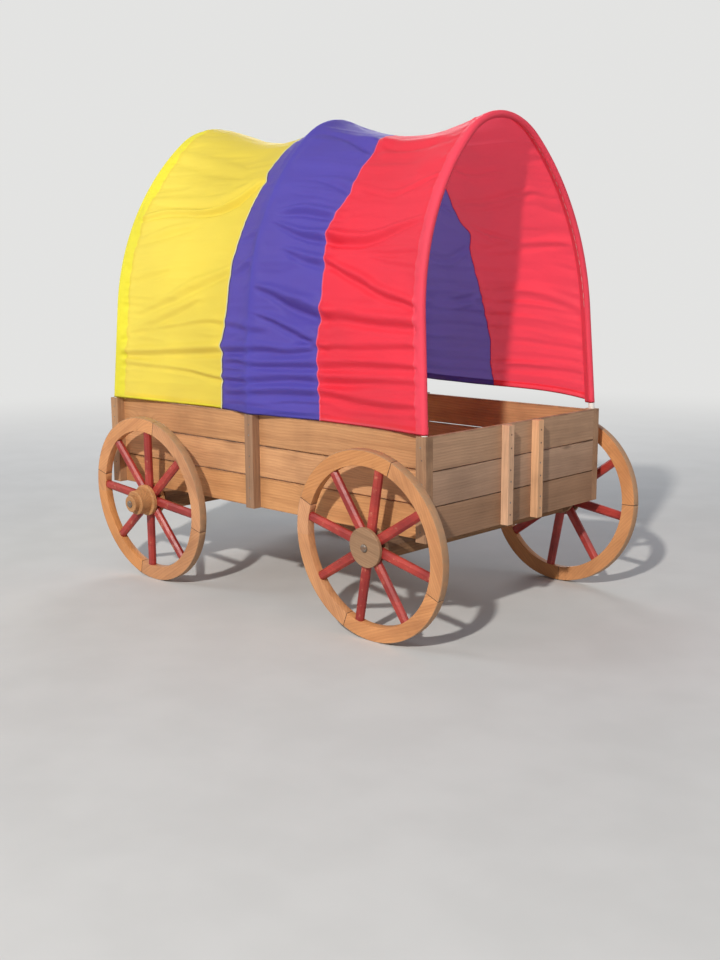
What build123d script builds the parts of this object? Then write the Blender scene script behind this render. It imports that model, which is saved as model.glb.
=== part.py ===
from build123d import *

import os
from math import atan2, cos, radians, sin

# A covered wagon: a plank box on two timber axle beams and four spoked wheels, under a cloth
# cover on three bent pipe hoops. Sizes are in millimetres. +X is the wagon's front, +Y its left
# side and +Z up. The origin is on the ground, in the middle of the overall length and width.

# Wheels
wheel_diameter = 813
rim_width = 66
rim_thickness = 38
felloe_count = 4
felloe_joint = 0.6
felloe_offset = -10
spoke_count = 8
spoke_width = 46
spoke_width_at_rim = 40
spoke_depth = 32
spoke_edge = 10
spoke_in_rim = 14
spoke_foot_gap = 0.5
camber = 4.2

# Hubs, each measured along the axle from the middle of the wheel
hub_sleeve_diameter = 56
hub_back_plate_diameter = 150
hub_back_plate = 18
hub_neck_diameter = 92
hub_neck = 20
front_plate_diameter = 170
front_plate = 15
rear_plate_diameter = 151
rear_plate = 19
drum_diameter = 118
drum_length = 58
cap_diameter = 81
cap_length = 26
turned_edge = 4

# Axles
wheelbase = 1474
wheel_gap = 57
beam_size = 89
axle_diameter = 20
axle_in_beam = 130
axle_head_diameter = 34
axle_head = 8
axle_head_round = 5.5
collar_diameter = 46
collar_length = 6
running_clearance = 0.3
end_clearance = 0.5
seat_clearance = 0.05

# Box
box_length = 2115
box_width = 1148
box_behind_axles = 83
floor_above_hubs = 33.2
board_width = 140
board_gap = 5
board_thickness = 19
board_count = 3
post_width = 54
post_depth = 42
end_batten_size = 38
end_batten_spread = 214
joist_size = 38
floor_board_count = 6
floor_gap = 4

# Hoops and cover. A lean tips the top of a hoop or seam forward, in degrees, and a rise is
# measured along the hoop from the top of the posts to the middle of the pipe at the crown.
# The skew moves the lowest place of the rear bay towards the middle hoop.
pipe_diameter = 27
pipe_wall = 3
socket_depth = 60
spring_height = 464
spring_inset = 17
arch_fullness = 1.17
rear_hoop_rise = 1333
middle_hoop_rise = 1314
front_hoop_rise = 1283
rear_hoop_lean = 4.6
front_hoop_lean = -3.7
cover_thickness = 5
cover_clearance = 3
cover_overhang = 16
hem_height = 4
left_hem_lift = 66
hem_lift_run = 300
cover_sag = 96
cover_side_sag = 45
rear_sag_skew = 1.6
rear_seam_station = -240
rear_seam_lean = 4.8
front_seam_station = 410
front_seam_lean = 0

# What follows from the sizes above
wheel_radius = wheel_diameter / 2
rim_inner_radius = wheel_radius - rim_width
lean = radians(camber)
hub_height = wheel_radius * cos(lean) + rim_thickness / 2 * sin(lean)
track = box_width + 2 * post_depth + 2 * wheel_gap + rim_thickness
box_floor_height = hub_height + floor_above_hubs
box_top = box_floor_height + board_count * board_width + (board_count - 1) * board_gap
post_y = box_width / 2 + post_depth / 2
foremost = wheelbase / 2 + wheel_radius
rearmost = -box_behind_axles - box_length / 2 - end_batten_size
axle_middle_x = -(foremost + rearmost) / 2
box_x = axle_middle_x - box_behind_axles
hub_back = spoke_depth / 2 + hub_back_plate + hub_neck
hoop_reach = box_length / 2 - post_width / 2
bore_radius = axle_diameter / 2 + running_clearance
hoop_names = ["rear", "middle", "front"]
hoop_leans = [rear_hoop_lean, 0, front_hoop_lean]
hoop_rises = [rear_hoop_rise, middle_hoop_rise, front_hoop_rise]

# Where each wheel stands: end of the wagon, side, and the turn of its first spoke in degrees
wheels = [
    ("rear_right", -1, -1, -5.4),
    ("rear_left", -1, 1, 12.0),
    ("front_right", 1, -1, -13.5),
    ("front_left", 1, 1, 8.0),
]


def block(x, y, z):
    # A box from three pairs of lowest and highest values.
    size = Box(x[1] - x[0], y[1] - y[0], z[1] - z[0])
    return Pos((x[0] + x[1]) / 2, (y[0] + y[1]) / 2, (z[0] + z[1]) / 2) * size


def span(centre, size):
    return (centre - size / 2, centre + size / 2)


def ring(outer, inner, low, high):
    # A disc with a bore, between two heights on the axle.
    disc = Cylinder(outer, high - low) - Cylinder(inner, high - low)
    return Pos(0, 0, (low + high) / 2) * disc


def rod(diameter, low, high):
    return Pos(0, 0, (low + high) / 2) * Cylinder(diameter / 2, high - low)


def together(solids):
    # Pieces of one kind that don't touch, kept as one node.
    return Compound([solid for part in solids for solid in part.solids()])


def board_levels():
    pitch = board_width + board_gap
    return [(box_floor_height + row * pitch, box_floor_height + row * pitch + board_width)
            for row in range(board_count)]


def side_boards(side):
    reach = box_length / 2 - board_thickness
    inner = side * (box_width / 2 - board_thickness)
    outer = side * box_width / 2
    across = (min(inner, outer), max(inner, outer))
    along = (box_x - reach, box_x + reach)
    return together([block(along, across, level) for level in board_levels()])


def end_boards(end):
    inner = box_x + end * (box_length / 2 - board_thickness)
    outer = box_x + end * box_length / 2
    along = (min(inner, outer), max(inner, outer))
    return together([block(along, span(0, box_width), level) for level in board_levels()])


def end_battens(end):
    middle = box_x + end * (box_length + end_batten_size) / 2
    height = (box_floor_height, box_top)
    return together([block(span(middle, end_batten_size),
                           span(side * end_batten_spread / 2, end_batten_size), height)
                     for side in (-1, 1)])


def post(station, side, socket):
    # A corner post or middle batten, with the hoop's socket in its top.
    solid = block(span(box_x + station, post_width), span(side * post_y, post_depth),
                  (box_floor_height, box_top))
    return solid - socket


def floor_joists():
    reach = box_length / 2 - board_thickness - joist_size / 2
    stations = [box_x - reach, axle_middle_x - wheelbase / 2, box_x,
                axle_middle_x + wheelbase / 2, box_x + reach]
    across = span(0, box_width - 2 * board_thickness)
    height = (box_floor_height, box_floor_height + joist_size)
    return together([block(span(station, joist_size), across, height) for station in stations])


def floor_boards():
    along = span(box_x, box_length - 2 * board_thickness - 2 * floor_gap)
    inside = box_width - 2 * board_thickness
    width = (inside - (floor_board_count + 1) * floor_gap) / floor_board_count
    low = box_floor_height + joist_size
    first = -inside / 2 + floor_gap + width / 2
    return together([block(along, span(first + row * (width + floor_gap), width),
                           (low, low + board_thickness)) for row in range(floor_board_count)])


def wheel_plane(end, side):
    # The wheel's own frame: its middle, with +Z out along the axle, which dips outward.
    middle = (axle_middle_x + end * wheelbase / 2, side * track / 2, hub_height)
    return Plane(origin=middle, x_dir=(1, 0, 0), z_dir=(0, side * cos(lean), -sin(lean)))


def beam_end_plane(end, side):
    # The timber beam's sawn end, square to the axle so that the collar seats on it.
    gap = hub_back + end_clearance + collar_length
    return wheel_plane(end, side).offset(-gap)


def axle_beam(end, bores):
    solid = block(span(axle_middle_x + end * wheelbase / 2, beam_size), span(0, track),
                  (box_floor_height - beam_size, box_floor_height))
    for side in (-1, 1):
        solid = split(solid, bisect_by=beam_end_plane(end, side), keep=Keep.BOTTOM)
    for bore in bores:
        solid -= bore
    return solid


def wheel_solids(end, turn):
    # One wheel's pieces in its own frame, by the last part of their names.
    spokes = spoke_set(turn)
    pieces = {"felloes": felloes(turn, spokes), "spokes": spokes, "hub": hub()}
    if end > 0:
        pieces["hub_plate"] = turned_plate(front_plate_diameter, spoke_depth / 2, front_plate)
    else:
        pieces["hub_plate"] = turned_plate(rear_plate_diameter, spoke_depth / 2, rear_plate)
        pieces["hub_nose"] = hub_nose()
    return pieces


def spoke_section(width):
    # A bar's section with its long edges taken off.
    return chamfer(Rectangle(width, spoke_depth).vertices(), spoke_edge)


def spoke_set(turn):
    # Tapered spokes whose wedge feet meet round the hub's sleeve.
    outer = rim_inner_radius + spoke_in_rim
    half_turn = radians(180 / spoke_count)
    sole = hub_sleeve_diameter / 2 + seat_clearance
    upright = Plane(origin=(0, 0, 0), x_dir=(0, 1, 0), z_dir=(1, 0, 0))
    bar = loft([upright * spoke_section(spoke_width),
                upright.offset(outer) * spoke_section(spoke_width_at_rim)])
    tip = spoke_foot_gap / 2 / sin(half_turn)
    far_x = tip + 2 * outer * cos(half_turn)
    far_y = 2 * outer * sin(half_turn)
    wedge = extrude(Polygon((tip, 0), (far_x, far_y), (far_x, -far_y), align=None),
                    spoke_depth, both=True)
    spoke = (bar & wedge) - Cylinder(sole, 2 * spoke_depth)
    step = 360 / spoke_count
    return together([Rot(0, 0, turn + number * step) * spoke for number in range(spoke_count)])


def felloes(turn, spokes):
    # Curved rim pieces, with mortises for the spokes and a fine joint between each two.
    rim = ring(wheel_radius, rim_inner_radius, -rim_thickness / 2, rim_thickness / 2)
    for spoke in spokes.solids():
        rim -= spoke
    step = 360 / felloe_count
    for number in range(felloe_count):
        saw = Pos(wheel_radius, 0, 0) * Box(2 * wheel_radius, felloe_joint, 2 * rim_thickness)
        rim -= Rot(0, 0, turn + felloe_offset + number * step) * saw
    return together([rim])


def hub():
    # The turned hub: a sleeve through the spokes, a plate behind them and a neck.
    back = -spoke_depth / 2
    sleeve = ring(hub_sleeve_diameter / 2, bore_radius, back, spoke_depth / 2)
    plate = ring(hub_back_plate_diameter / 2, bore_radius, back - hub_back_plate, back)
    neck = ring(hub_neck_diameter / 2, bore_radius, -hub_back, back - hub_back_plate)
    return sleeve + plate + neck


def turned_plate(diameter, low, thickness):
    # A turned disc on the axle, with its outer edge rounded.
    plate = ring(diameter / 2, bore_radius, low, low + thickness)
    rim_edges = plate.edges().filter_by(GeomType.CIRCLE).sort_by(SortBy.RADIUS)[-2:]
    return fillet(rim_edges.sort_by(Axis.Z)[-1], turned_edge)


def hub_nose():
    # The stepped nose of a rear hub: a drum with a smaller cap.
    low = spoke_depth / 2 + rear_plate
    drum = turned_plate(drum_diameter, low, drum_length)
    return drum + turned_plate(cap_diameter, low + drum_length, cap_length)


def hub_face(end):
    # How far out the wheel's last turned piece reaches.
    if end > 0:
        return spoke_depth / 2 + front_plate
    return spoke_depth / 2 + rear_plate + drum_length + cap_length


def axle_bolt(end):
    # The fixed steel axle: a domed head outside the hub, a shank and a collar at the beam.
    outer = hub_face(end) + end_clearance
    inner = -hub_back - end_clearance
    beam_face = inner - collar_length
    shank = rod(axle_diameter, beam_face - axle_in_beam, outer)
    collar = rod(collar_diameter, beam_face, inner)
    head = rod(axle_head_diameter, outer, outer + axle_head)
    head_edge = head.edges().filter_by(GeomType.CIRCLE).sort_by(Axis.Z)[-1]
    return shank + collar + fillet(head_edge, axle_head_round)


def axle_bore(end):
    beam_face = -hub_back - end_clearance - collar_length
    return rod(axle_diameter + 2 * seat_clearance, beam_face - axle_in_beam,
               beam_face + axle_in_beam)


class Arch:
    """An arch in its own plane: straight legs that lean in, side arcs and a crown arc."""

    def __init__(self, half_spring, rise, offset):
        side_rise = rise - spring_height
        half_base = half_spring + spring_inset
        self.tilt = atan2(half_base - half_spring, spring_height)
        self.offset = offset
        self.side = arch_fullness * (half_spring ** 2 + side_rise ** 2) / (2 * half_spring)
        self.side_y = half_spring - self.side * cos(self.tilt)
        self.side_z = spring_height - self.side * sin(self.tilt)
        high = rise - self.side_z
        self.crown = ((self.side ** 2 - self.side_y ** 2 - high ** 2)
                      / (2 * (self.side - high)))
        self.crown_z = rise - self.crown
        self.turn = atan2(self.crown_z - self.side_z, -self.side_y)

    def on_side(self, angle):
        reach = self.side + self.offset
        return (self.side_y + reach * cos(angle), self.side_z + reach * sin(angle))

    def points(self, right_base, left_base):
        # Right base, spring, middle of the side arc and its end, the crown, then the left side.
        spring = self.on_side(self.tilt)
        middle = self.on_side((self.tilt + self.turn) / 2)
        top = self.on_side(self.turn)
        half = [self.leg(right_base), spring, middle, top]
        other = [self.leg(left_base), spring, middle, top]
        right = [(-y, z) for y, z in half]
        return right + [(0, self.crown_z + self.crown + self.offset)] + other[::-1]

    def leg(self, height):
        y, z = self.on_side(self.tilt)
        return (y + (z - height) * sin(self.tilt) / cos(self.tilt), height)


def arch_edges(points):
    base_r, spring_r, side_r, top_r, crown, top_l, side_l, spring_l, base_l = points
    return [Line(base_r, spring_r), ThreePointArc(spring_r, side_r, top_r),
            ThreePointArc(top_r, crown, top_l), ThreePointArc(top_l, side_l, spring_l),
            Line(spring_l, base_l)]


def hoop_plane(x, tip):
    # Upright across the wagon at the top of the posts, tipped forward by some degrees.
    angle = radians(tip)
    return Plane(origin=(box_x + x, 0, box_top), x_dir=(0, 1, 0),
                 z_dir=(cos(angle), 0, -sin(angle)))


def hoop_stations():
    return [-hoop_reach, 0, hoop_reach]


def hoop(number):
    plane = hoop_plane(hoop_stations()[number], hoop_leans[number])
    arch = Arch(post_y - spring_inset, hoop_rises[number], 0)
    path = plane * Wire(arch_edges(arch.points(-socket_depth, -socket_depth)))
    section = Plane(origin=path @ 0, z_dir=path % 0) * (
        Circle(pipe_diameter / 2) - Circle(pipe_diameter / 2 - pipe_wall))
    return sweep(section, path=path)


def socket(number, side):
    # The hole that takes the foot of a hoop, along the hoop's leaning leg.
    plane = hoop_plane(hoop_stations()[number], hoop_leans[number])
    arch = Arch(post_y - spring_inset, hoop_rises[number], 0)
    y_low, z_low = arch.leg(-socket_depth)
    y_high, z_high = arch.leg(socket_depth)
    low = plane.from_local_coords(Vector(side * y_low, z_low, 0))
    high = plane.from_local_coords(Vector(side * y_high, z_high, 0))
    drill = Plane(origin=low, z_dir=high - low) * Circle(pipe_diameter / 2 + seat_clearance)
    return extrude(drill, (high - low).length)


def between(x, values):
    # A hoop value at any station, straight between the hoops, and how far into its bay it is.
    stations = hoop_stations()
    bay = 0 if x < stations[1] else 1
    share = (x - stations[bay]) / (stations[bay + 1] - stations[bay])
    return values[bay] + share * (values[bay + 1] - values[bay]), share


def cover_section(x, tip):
    # The cloth's closed outline on a plane that leans by some degrees: it hangs in a shallow
    # curve between hoops. Such a plane meets the crown at another station than the hem.
    lean, _ = between(x, hoop_leans)
    crown_x = x + middle_hoop_rise * (sin(radians(tip)) - sin(radians(lean)))
    rise, share = between(crown_x, hoop_rises)
    if crown_x < 0:
        share = share ** rear_sag_skew
    slack = 4 * share * (1 - share)
    lift = left_hem_lift * min(1, (hoop_reach - abs(x)) / hem_lift_run)
    half_spring = post_y - spring_inset - cover_side_sag * slack
    near = pipe_diameter / 2 + cover_clearance
    outer = Arch(half_spring, rise - cover_sag * slack, near + cover_thickness)
    inner = Arch(half_spring, rise - cover_sag * slack, near)
    outer_points = outer.points(hem_height, hem_height + lift)
    inner_points = inner.points(hem_height, hem_height + lift)
    edges = arch_edges(outer_points) + arch_edges(inner_points)
    edges += [Line(outer_points[0], inner_points[0]), Line(outer_points[-1], inner_points[-1])]
    return hoop_plane(x, tip) * make_face(edges)


def cover_panel(ends):
    # The cloth through some stations with their leans, lofted from each one to the next.
    panel = Part()
    for (low, low_tip), (high, high_tip) in zip(ends, ends[1:]):
        middle = ((low + high) / 2, (low_tip + high_tip) / 2)
        panel += loft([cover_section(*end) for end in ((low, low_tip), middle, (high, high_tip))])
    return panel


def hem_band(station, tip, outward):
    # The hem past the pipe at an open end.
    along = hoop_plane(station, tip).z_dir * outward
    return extrude(cover_section(station, tip), cover_overhang, dir=along)


def cover_panels():
    # The three coloured breadths. The middle one has its crest at the middle hoop.
    rear = (-hoop_reach, rear_hoop_lean)
    rear_seam = (rear_seam_station, rear_seam_lean)
    front_seam = (front_seam_station, front_seam_lean)
    front = (hoop_reach, front_hoop_lean)
    return [cover_panel([rear, rear_seam]) + hem_band(*rear, -1),
            cover_panel([rear_seam, (0, 0), front_seam]),
            cover_panel([front_seam, front]) + hem_band(*front, 1)]


def save(name, shape):
    export_step(shape, os.path.join("parts", name + ".step"))


def save_box():
    for side, side_name in ((-1, "right"), (1, "left")):
        save("side_boards_" + side_name, side_boards(side))
        for number, hoop_name in enumerate(hoop_names):
            station = hoop_stations()[number]
            save("post_" + hoop_name + "_" + side_name,
                 post(station, side, socket(number, side)))
    for end, end_name in ((-1, "rear"), (1, "front")):
        save("end_boards_" + end_name, end_boards(end))
        save("end_battens_" + end_name, end_battens(end))
    save("floor_joists", floor_joists())
    save("floor_boards", floor_boards())


def save_axles():
    for end, end_name in ((-1, "rear"), (1, "front")):
        bores = []
        for side, side_name in ((-1, "right"), (1, "left")):
            plane = wheel_plane(end, side)
            bores.append(plane * axle_bore(end))
            save("axle_" + end_name + "_" + side_name, plane * axle_bolt(end))
        save("axle_beam_" + end_name, axle_beam(end, bores))


def save_wheels():
    for name, end, side, turn in wheels:
        plane = wheel_plane(end, side)
        for piece, solid in wheel_solids(end, turn).items():
            save("wheel_" + name + "_" + piece, plane * solid)


def save_cover():
    for number, hoop_name in enumerate(hoop_names):
        save("hoop_" + hoop_name, hoop(number))
    for hoop_name, panel in zip(hoop_names, cover_panels()):
        save("cover_" + hoop_name, panel)


os.makedirs("parts", exist_ok=True)
save_box()
save_axles()
save_wheels()
save_cover()
print("axle height", round(hub_height, 2), "axles at x",
      [round(axle_middle_x + end * wheelbase / 2, 2) for end in (-1, 1)])
print("box from x", round(box_x - box_length / 2, 2), "to", round(box_x + box_length / 2, 2))
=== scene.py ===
from math import atan2, cos, pi, radians, sin

import bpy
import numpy as np
from mathutils import Matrix, Vector


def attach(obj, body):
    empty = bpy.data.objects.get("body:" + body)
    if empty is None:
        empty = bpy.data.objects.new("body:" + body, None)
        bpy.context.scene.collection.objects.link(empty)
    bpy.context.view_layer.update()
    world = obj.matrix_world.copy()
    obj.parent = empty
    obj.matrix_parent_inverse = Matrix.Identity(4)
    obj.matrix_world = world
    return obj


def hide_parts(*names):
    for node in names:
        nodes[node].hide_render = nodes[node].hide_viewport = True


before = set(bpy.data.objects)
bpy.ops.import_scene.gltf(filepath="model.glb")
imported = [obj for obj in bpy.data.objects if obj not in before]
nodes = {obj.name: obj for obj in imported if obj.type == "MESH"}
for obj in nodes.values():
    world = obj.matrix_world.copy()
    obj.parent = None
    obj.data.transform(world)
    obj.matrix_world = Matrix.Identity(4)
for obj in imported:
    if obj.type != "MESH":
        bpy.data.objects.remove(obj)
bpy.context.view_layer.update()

sides = ("right", "left")
hoops = ("rear", "middle", "front")

# The hoops and the cover, in metres and degrees, as in the solids
post_y = 0.595
spring_inset = 0.017
spring_height = 0.464
arch_fullness = 1.17
pipe_radius = 0.0135
box_top = 0.870
box_x = -0.0655
hoop_reach = 1.0305
hoop_leans = [4.6, 0.0, -3.7]
hoop_rises = [1.333, 1.314, 1.283]
cover_sag = 0.096
cover_side_sag = 0.045
rear_sag_skew = 1.6
hoop_softness = 0.014
hem_height = 0.004

# The left hem's lift at the end hoops, what it gains between them, and how soon
end_lift = 0.024
middle_lift = 0.044
lift_reach = 0.15

# The cloth's own sizes
cloth_gap = 0.0022
row_step = 0.0075
column_step = 0.0075
rear_sleeve = 0.078
front_sleeve = 0.038
hem_fold = 0.026
hem_inset = 0.0016
stitch_drop = 0.009
stitch_pitch = 0.0042
thread_pitch = 0.0011

# How finely the cover's sections, seams, folds and sleeves are drawn
section_count = 181
arch_points = 120
seam_window = 9
curve_points = 40
pipe_columns = 13
back_columns = 7

# Each seam's piping as width, height and colour, and its profile in shares of the first two
piping_sizes = {"rear": (0.0085, 0.0024, "piping"), "middle": (0.0060, 0.0018, "pink")}
piping_profile = [(-0.5, -0.2), (-0.42, 0.5), (-0.2, 0.9), (0, 1), (0.2, 0.9), (0.42, 0.5),
                  (0.5, -0.2)]

# The box's posts and battens
post_face = 0.616
post_stations = (-1.096, -0.0655, 0.965)
end_faces = {"rear": -1.161, "front": 1.030}
batten_stations = (-0.107, 0.107)
board_levels = (0.510, 0.655, 0.800)
plank_pitch = 0.145
lowest_plank = 0.4365

# Screws: half the space between a board's two, how far each strays, and a head's rings as reach
# and height
screw_spread = 0.026
screw_shift = 0.004
screw_sides = 12
screw_rings = [(0.0, 0.0004), (0.0011, 0.0001), (0.0016, 0.0009), (0.0035, 0.0008), (0.0041, 0.0)]

# The wheels, in metres and degrees
axle_x = {"rear": -0.7195, "front": 0.7545}
hub_y = 0.692
hub_z = 0.4068
camber = 4.2
wheel_turns = {"rear_right": -5.4, "rear_left": 12.0, "front_right": -13.5, "front_left": 8.0}
felloe_joint = 10
tread = (0.402, 0.4058)
groove_pitch = 0.0021

# The camera as solved from the photograph: place in metres, yaw, pitch and roll in degrees,
# focal length and picture height in pixels, and sensor in millimetres
camera_place = (4.0948, -4.2424, 1.5828)
camera_turns = (133.6847, -10.4628, -0.3318)
focal_length = 1225.56
picture_height = 960
sensor = 36

# Colours of background and lamps, and where the floor fades into the background
backdrop = (0.77, 0.77, 0.76, 1)
sky_given = (0.19, 0.21, 0.25, 1)
sunlight = (1.0, 0.97, 0.92)
pale_sky = (0.95, 0.97, 1.0)
blue_sky = (0.92, 0.96, 1.0)
floor_reach = 40.0
floor_fade = (2.4, 9.0)


# Camera, floor, background and light


def look(location, yaw, pitch, roll):
    forward = Vector((cos(pitch) * cos(yaw), cos(pitch) * sin(yaw), sin(pitch)))
    level = Vector((sin(yaw), -cos(yaw), 0))
    upward = level.cross(forward)
    right = cos(roll) * level + sin(roll) * upward
    up = cos(roll) * upward - sin(roll) * level
    return Matrix.Translation(location) @ Matrix((right, up, -forward)).transposed().to_4x4()


def add_camera():
    camera = bpy.data.objects.new("camera", bpy.data.cameras.new("camera"))
    bpy.context.scene.collection.objects.link(camera)
    camera.matrix_world = look(camera_place, *[radians(turn) for turn in camera_turns])
    camera.data.lens = focal_length / picture_height * sensor
    camera.data.clip_end = 60
    bpy.context.scene.camera = camera
    bpy.context.scene.view_settings.view_transform = "Standard"


def aim(location, target):
    direction = Vector(target) - Vector(location)
    turn = direction.to_track_quat("-Z", "Y").to_matrix().to_4x4()
    return Matrix.Translation(location) @ turn


def add_lamp(name, location, target, size, power, colour):
    lamp = bpy.data.objects.new(name, bpy.data.lights.new(name, "AREA"))
    lamp.data.shape = "DISK"
    lamp.data.size = size
    lamp.data.energy = power
    lamp.data.color = colour
    lamp.matrix_world = aim(location, target)
    bpy.context.scene.collection.objects.link(lamp)


def backdrop_colour(graph, seen, unseen):
    """One value for what the camera, mirrors and glass see, and another for the light given."""
    path = graph.node("ShaderNodeLightPath")
    shown = graph.math("MAXIMUM", path.outputs["Is Camera Ray"], path.outputs["Is Glossy Ray"])
    shown = graph.math("MAXIMUM", shown, path.outputs["Is Transmission Ray"])
    return graph.mix(shown, unseen, seen)


class Graph:
    """Short calls for building a node tree."""

    def __init__(self, tree):
        self.tree = tree
        tree.nodes.clear()

    def node(self, kind, inputs=None, **settings):
        made = self.tree.nodes.new(kind)
        for name, value in settings.items():
            setattr(made, name, value)
        for name, value in (inputs or {}).items():
            self.put(made.inputs[name], value)
        return made

    def put(self, socket, value):
        if isinstance(value, bpy.types.NodeSocket):
            self.tree.links.new(value, socket)
        elif value is not None:
            socket.default_value = value

    def math(self, operation, first, second=None, third=None):
        made = self.tree.nodes.new("ShaderNodeMath")
        made.operation = operation
        for socket, value in zip(made.inputs, (first, second, third)):
            self.put(socket, value)
        return made.outputs[0]

    def plus(self, first, second):
        return self.math("ADD", first, second)

    def less(self, first, second):
        return self.math("SUBTRACT", first, second)

    def times(self, first, second):
        return self.math("MULTIPLY", first, second)

    def vector(self, operation, first, second=None):
        made = self.tree.nodes.new("ShaderNodeVectorMath")
        made.operation = operation
        self.put(made.inputs[0], first)
        self.put(made.inputs[1], second)
        return made.outputs["Value" if operation == "LENGTH" else "Vector"]

    def place(self):
        return self.node("ShaderNodeTexCoord").outputs["Object"]

    def stored(self, name):
        return self.node("ShaderNodeAttribute", attribute_name=name).outputs["Vector"]

    def split(self, vector):
        made = self.node("ShaderNodeSeparateXYZ", {"Vector": vector})
        return made.outputs[0], made.outputs[1], made.outputs[2]

    def join(self, x, y, z):
        made = self.tree.nodes.new("ShaderNodeCombineXYZ")
        for socket, value in zip(made.inputs, (x, y, z)):
            self.put(socket, value)
        return made.outputs[0]

    def ramp(self, value, low, high, start=0.0, end=1.0):
        """A smooth step from start to end while the value goes from low to high."""
        made = self.node("ShaderNodeMapRange", {"Value": value, "From Min": low, "From Max": high,
                                                "To Min": start, "To Max": end},
                         interpolation_type="SMOOTHSTEP")
        return made.outputs["Result"]

    def mix(self, share, first, second):
        made = self.node("ShaderNodeMix", data_type="RGBA")
        self.put(made.inputs["Factor"], share)
        self.put(made.inputs[6], first)
        self.put(made.inputs[7], second)
        return made.outputs[2]

    def noise(self, vector, scale, detail=2.0, roughness=0.5, distortion=0.0):
        made = self.node("ShaderNodeTexNoise", {"Vector": vector, "Scale": scale, "Detail": detail,
                                                "Roughness": roughness, "Distortion": distortion})
        return made.outputs["Fac"]

    def chance(self, value):
        return self.node("ShaderNodeTexWhiteNoise", {"W": value},
                         noise_dimensions="1D").outputs["Value"]

    def bump(self, height, strength, distance):
        return self.node("ShaderNodeBump", {"Height": height, "Strength": strength,
                                            "Distance": distance}).outputs[0]

    def surface(self, colour, roughness, normal=None, specular=None, metallic=None):
        return self.node("ShaderNodeBsdfPrincipled",
                         {"Base Color": colour, "Roughness": roughness, "Normal": normal,
                          "Specular IOR Level": specular, "Metallic": metallic}).outputs[0]

    def mix_shaders(self, share, first, second):
        made = self.node("ShaderNodeMixShader", {"Fac": share})
        self.put(made.inputs[1], first)
        self.put(made.inputs[2], second)
        return made.outputs[0]

    def show(self, shader):
        self.node("ShaderNodeOutputMaterial", {"Surface": shader})


def rgb(red, green, blue):
    """A colour as a picture gives it, 0 to 255, turned into scene light."""
    values = [channel / 255 for channel in (red, green, blue)]
    light = [v / 12.92 if v <= 0.04045 else ((v + 0.055) / 1.055) ** 2.4 for v in values]
    return (*light, 1.0)


def new_material(name):
    material = bpy.data.materials.new(name)
    material.use_nodes = True
    return material, Graph(material.node_tree)


def add_stage():
    low, high = -floor_reach, floor_reach
    floor = grid_piece("floor", np.array([[(low, low, 0.0), (high, low, 0.0)],
                                          [(low, high, 0.0), (high, high, 0.0)]]))
    material, graph = new_material("floor_material")
    place = graph.place()
    patch = graph.ramp(graph.noise(place, 3.0, 3.0), 0.3, 0.7)
    ground = graph.surface(graph.mix(patch, (0.58, 0.575, 0.56, 1), (0.61, 0.605, 0.59, 1)), 0.9)
    haze = graph.node("ShaderNodeEmission", {"Color": backdrop, "Strength": 1.0})
    distance = graph.ramp(graph.vector("LENGTH", place), *floor_fade)
    seen = graph.node("ShaderNodeLightPath").outputs["Is Camera Ray"]
    graph.show(graph.mix_shaders(graph.times(distance, seen), ground, haze.outputs[0]))
    floor.data.materials.append(material)
    world = bpy.data.worlds.new("studio")
    world.use_nodes = True
    bpy.context.scene.world = world
    graph = Graph(world.node_tree)
    colour = backdrop_colour(graph, backdrop, sky_given)
    background = graph.node("ShaderNodeBackground", {"Color": colour, "Strength": 1.0})
    graph.node("ShaderNodeOutputWorld", {"Surface": background.outputs[0]})
    add_lamp("key", (5.7, -12.3, 9.2), (0, 0, 0.9), size=0.6, power=2200, colour=sunlight)
    add_lamp("front_fill", (7.0, 0.5, 3.0), (0.5, 0, 0.8), size=3.0, power=12, colour=pale_sky)
    add_lamp("wall_bounce", (3.4, 2.9, 1.5), (1.05, 0.5, 0.6), size=1.5, power=11,
             colour=sunlight)
    add_lamp("side_sky", (-6.0, -7.0, 6.5), (0, 0, 1.2), size=4.0, power=200, colour=blue_sky)
    add_lamp("back_fill", (-4.5, 5.0, 4.0), (0, 0, 1.0), size=3.5, power=160, colour=pale_sky)


# Meshes from grids of points


def grid_faces(rows, columns, closed=False):
    """Four-sided faces between a grid's points, round to the first column again if closed."""
    index = np.arange(rows * columns).reshape(rows, columns)
    if closed:
        index = np.concatenate([index, index[:, :1]], 1)
    faces = np.stack([index[:-1, :-1], index[:-1, 1:], index[1:, 1:], index[1:, :-1]], -1)
    return faces.reshape(-1, 4)


def mesh_piece(name, points, faces):
    mesh = bpy.data.meshes.new(name)
    mesh.from_pydata(points.reshape(-1, 3).tolist(), [], faces.tolist())
    mesh.polygons.foreach_set("use_smooth", [True] * len(mesh.polygons))
    piece = bpy.data.objects.new(name, mesh)
    bpy.context.scene.collection.objects.link(piece)
    return piece


def grid_piece(name, points):
    return mesh_piece(name, points, grid_faces(*points.shape[:2]))


def store(piece, name, vectors):
    attribute = piece.data.attributes.new(name, "FLOAT_VECTOR", "POINT")
    attribute.data.foreach_set("vector", vectors.reshape(-1).astype(np.float32))


# The cover's smooth surface


def smooth_step(values, low, high):
    share = np.clip((values - low) / (high - low), 0, 1)
    return share * share * (3 - 2 * share)


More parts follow.
